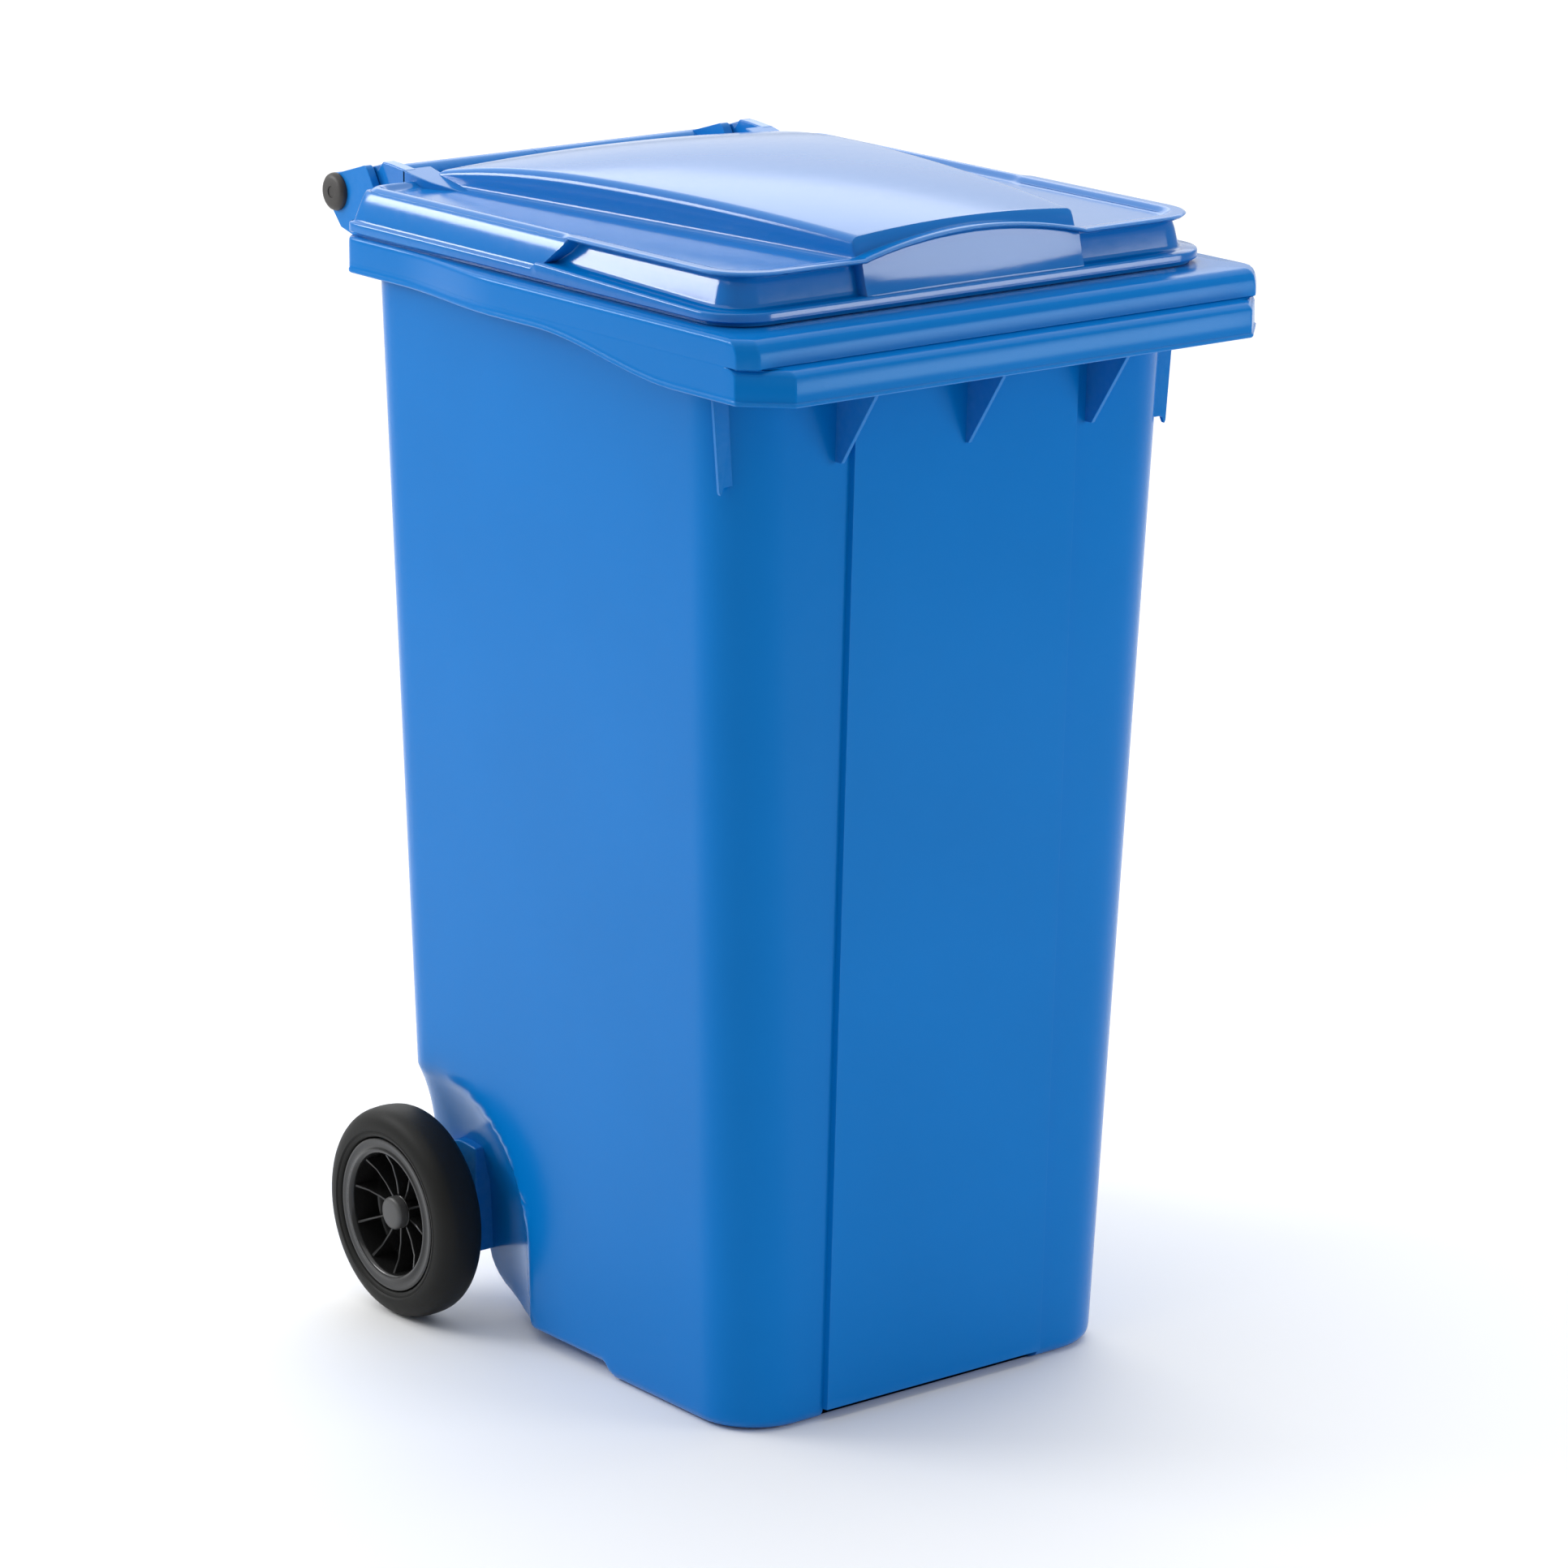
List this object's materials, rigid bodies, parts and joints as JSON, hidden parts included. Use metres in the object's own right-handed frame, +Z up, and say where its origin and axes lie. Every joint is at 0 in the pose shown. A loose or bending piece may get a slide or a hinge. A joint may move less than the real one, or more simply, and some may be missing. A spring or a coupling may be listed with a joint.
{
  "type": "wheelie bin",
  "caption": "Tall tapered plastic refuse bin with a hinged domed lid, a comb lip at the front, a rear handle bar and a pair of rubber-tyred wheels on a steel axle.",
  "frame": {"origin": "on the ground, under the middle of the bin's bounding box", "axes": "+Z up, +Y to the rear (handle, lid hinge and wheels), +X to the right seen from the front"},
  "size_m": [0.58, 0.74, 1.0865],
  "materials": {
    "container_plastic": "satin moulded polyethylene, saturated blue",
    "lid_plastic": "satin moulded polyethylene, saturated blue",
    "hinge_pin_plastic": "dull dark moulded plastic",
    "hub_plastic": "black moulded plastic",
    "cap_plastic": "dull grey moulded plastic",
    "tyre_rubber": "charcoal solid rubber",
    "plated_steel": "zinc plated"
  },
  "bodies": {
    "bin": {"container": "container_plastic", "container_foot": "container_plastic", "axle_housing": "container_plastic", "comb_lip": "container_plastic", "rim_collar": "container_plastic", "handle_bar": "container_plastic", "inner_web_left": "container_plastic", "inner_web_right": "container_plastic", "outer_web_left": "container_plastic", "outer_web_right": "container_plastic", "hinge_pin_left": "hinge_pin_plastic", "hinge_pin_right": "hinge_pin_plastic", "axle": "plated_steel", "spacer_sleeve_left": "hub_plastic", "spacer_sleeve_right": "hub_plastic", "push_on_washer_left": "plated_steel", "push_on_washer_right": "plated_steel"},
    "lid": {"lid": "lid_plastic"},
    "wheel_left": {"wheel_hub_left": "hub_plastic", "tyre_left": "tyre_rubber", "hub_cap_left": "cap_plastic"},
    "wheel_right": {"wheel_hub_right": "hub_plastic", "tyre_right": "tyre_rubber", "hub_cap_right": "cap_plastic"}
  },
  "joints": [
    {"name": "lid_hinge", "type": "hinge", "parent": "bin", "child": "lid", "pos_m": [0, 0.3525, 1.032], "axis": [-1, 0, 0], "range_deg": [0, 270]},
    {"name": "wheel_left_spin", "type": "hinge", "parent": "bin", "child": "wheel_left", "pos_m": [-0.261, 0.2, 0.1], "axis": [1, 0, 0], "continuous": true},
    {"name": "wheel_right_spin", "type": "hinge", "parent": "bin", "child": "wheel_right", "pos_m": [0.261, 0.2, 0.1], "axis": [1, 0, 0], "continuous": true}
  ]
}
